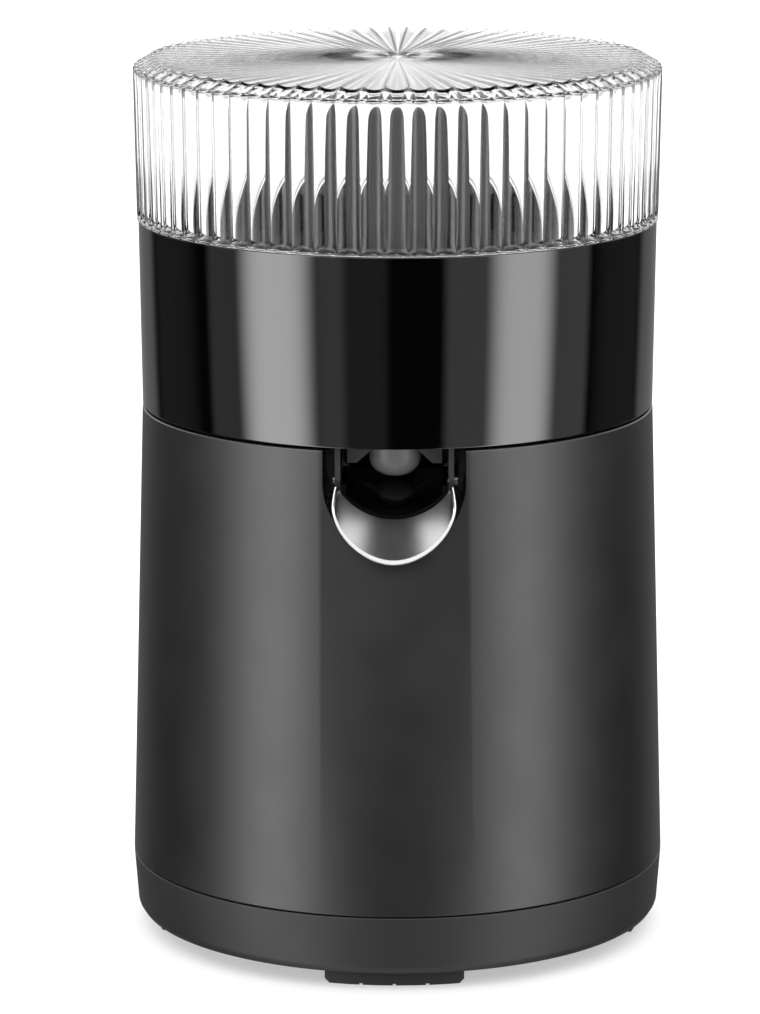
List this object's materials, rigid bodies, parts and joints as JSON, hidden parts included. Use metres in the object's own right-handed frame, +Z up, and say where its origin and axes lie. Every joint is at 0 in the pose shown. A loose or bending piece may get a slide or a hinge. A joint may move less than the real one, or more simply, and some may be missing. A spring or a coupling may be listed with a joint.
{
  "type": "citrus press juicer",
  "caption": "Electric citrus press: tapered motor casing, lift-off bowl with tipping drip-stop spout, strainer, ridged cone and clear fluted lid.",
  "frame": {"origin": "on the casing's vertical axis, in the plane of the feet's undersides", "axes": "+Z up along the casing's axis, -Y towards the spout, +X to the right seen from the front"},
  "size_m": [0.165, 0.1742, 0.2713],
  "materials": {
    "satin_anthracite": "satin metallic",
    "base_anthracite": "satin",
    "gloss_black": "high gloss",
    "clear_lid": "clear, fluted",
    "cone_anthracite": "satin",
    "black_plastic": "fine matte",
    "grey_plastic": "satin",
    "spout_steel": "satin",
    "rubber_black": "matte",
    "silicone_black": "matte",
    "steel": "turned",
    "sintered_bronze": "sintered",
    "nylon": "natural",
    "acetal": "natural",
    "zinc_steel": "zinc plated",
    "copper": "wound",
    "board_green": "lacquered",
    "red_lead": "insulation",
    "blue_plastic": "moulded"
  },
  "bodies": {
    "base": {"base_pan": "base_anthracite", "foot_front": "rubber_black", "foot_right": "rubber_black", "foot_rear": "rubber_black", "foot_left": "rubber_black", "base_screws": "steel", "outer_shell": "satin_anthracite", "top_deck": "black_plastic", "deck_screws": "steel", "shaft_seal": "silicone_black", "shaft_bush_upper": "sintered_bronze", "shaft_bush_lower": "sintered_bronze", "gearbox_lower": "nylon", "gearbox_upper": "nylon", "gearbox_screws": "steel", "idler_pin": "steel", "motor_can": "zinc_steel", "motor_end_cap": "black_plastic", "motor_magnets": "zinc_steel", "motor_bush_top": "sintered_bronze", "motor_bush_bottom": "sintered_bronze", "motor_brushes": "black_plastic", "motor_screws": "steel", "motor_leads": "red_lead", "control_board": "board_green", "board_parts": "black_plastic", "board_screws": "steel", "microswitch": "black_plastic", "spring_seat": "nylon", "press_spring": "steel", "cord_gland": "rubber_black"},
    "rotor": {"motor_shaft": "steel", "rotor_core": "copper", "commutator": "copper", "motor_pinion": "sintered_bronze"},
    "idler": {"compound_gear": "acetal"},
    "output": {"output_gear": "acetal"},
    "thrust": {"thrust_cup": "blue_plastic"},
    "shaft": {"drive_shaft": "steel", "shaft_clip": "steel"},
    "switch": {"switch_lever": "steel"},
    "bowl": {"juice_bowl": "gloss_black", "outlet_nozzle": "grey_plastic", "spout_housing": "cone_anthracite"},
    "spout": {"spout_channel": "black_plastic", "spout_lip": "spout_steel", "drip_plug": "silicone_black", "spout_pins": "steel"},
    "strainer": {"strainer": "black_plastic"},
    "cone_carrier": {"slip_ring": "acetal"},
    "cone": {"juicing_cone": "cone_anthracite", "cone_insert": "steel"},
    "lid": {"lid": "clear_lid"}
  },
  "joints": [
    {"name": "bowl_lift", "type": "slide", "parent": "base", "child": "bowl", "axis": [0, 0, 1], "range_m": [0, 0.08]},
    {"name": "spout_tip", "type": "hinge", "parent": "bowl", "child": "spout", "pos_m": [0, -0.05, 0.15], "axis": [-1, 0, 0], "range_deg": [0, 20]},
    {"name": "strainer_lift", "type": "slide", "parent": "bowl", "child": "strainer", "axis": [0, 0, 1], "range_m": [0, 0.06]},
    {"name": "lid_lift", "type": "slide", "parent": "strainer", "child": "lid", "axis": [0, 0, 1], "range_m": [0, 0.08]},
    {"name": "cone_press", "type": "slide", "parent": "strainer", "child": "cone_carrier", "axis": [0, 0, -1], "range_m": [0, 0.0025], "stiffness_N_per_m": 1800, "springref_m": -0.003},
    {"name": "cone_spin", "type": "hinge", "parent": "cone_carrier", "child": "cone", "pos_m": [0, 0, 0.1], "axis": [0, 0, 1], "continuous": true},
    {"name": "shaft_press", "type": "slide", "parent": "base", "child": "thrust", "axis": [0, 0, -1], "range_m": [0, 0.0025], "deforming": ["press_spring"]},
    {"name": "shaft_spin", "type": "hinge", "parent": "thrust", "child": "shaft", "pos_m": [0, 0, 0.1], "axis": [0, 0, 1], "continuous": true},
    {"name": "output_spin", "type": "hinge", "parent": "base", "child": "output", "pos_m": [0, 0, 0.1], "axis": [0, 0, 1], "continuous": true},
    {"name": "idler_spin", "type": "hinge", "parent": "base", "child": "idler", "pos_m": [0.01881, 0.01937, 0.1], "axis": [0, 0, 1], "continuous": true},
    {"name": "rotor_spin", "type": "hinge", "parent": "base", "child": "rotor", "pos_m": [0, 0.03, 0.1], "axis": [0, 0, 1], "continuous": true},
    {"name": "lever_tip", "type": "hinge", "parent": "base", "child": "switch", "pos_m": [-0.009, -0.0154, 0.072], "axis": [0, 1, 0], "range_deg": [0, 12.01]}
  ],
  "couplings": [
    {"joint": "shaft_press", "follows": "cone_press", "ratio": 1},
    {"joint": "lever_tip", "follows": "cone_press", "rad_per_m": 83.776},
    {"joint": "shaft_spin", "follows": "cone_spin", "ratio": 1},
    {"joint": "output_spin", "follows": "cone_spin", "ratio": 1},
    {"joint": "idler_spin", "follows": "cone_spin", "ratio": -3.5},
    {"joint": "rotor_spin", "follows": "cone_spin", "ratio": 12.25}
  ]
}
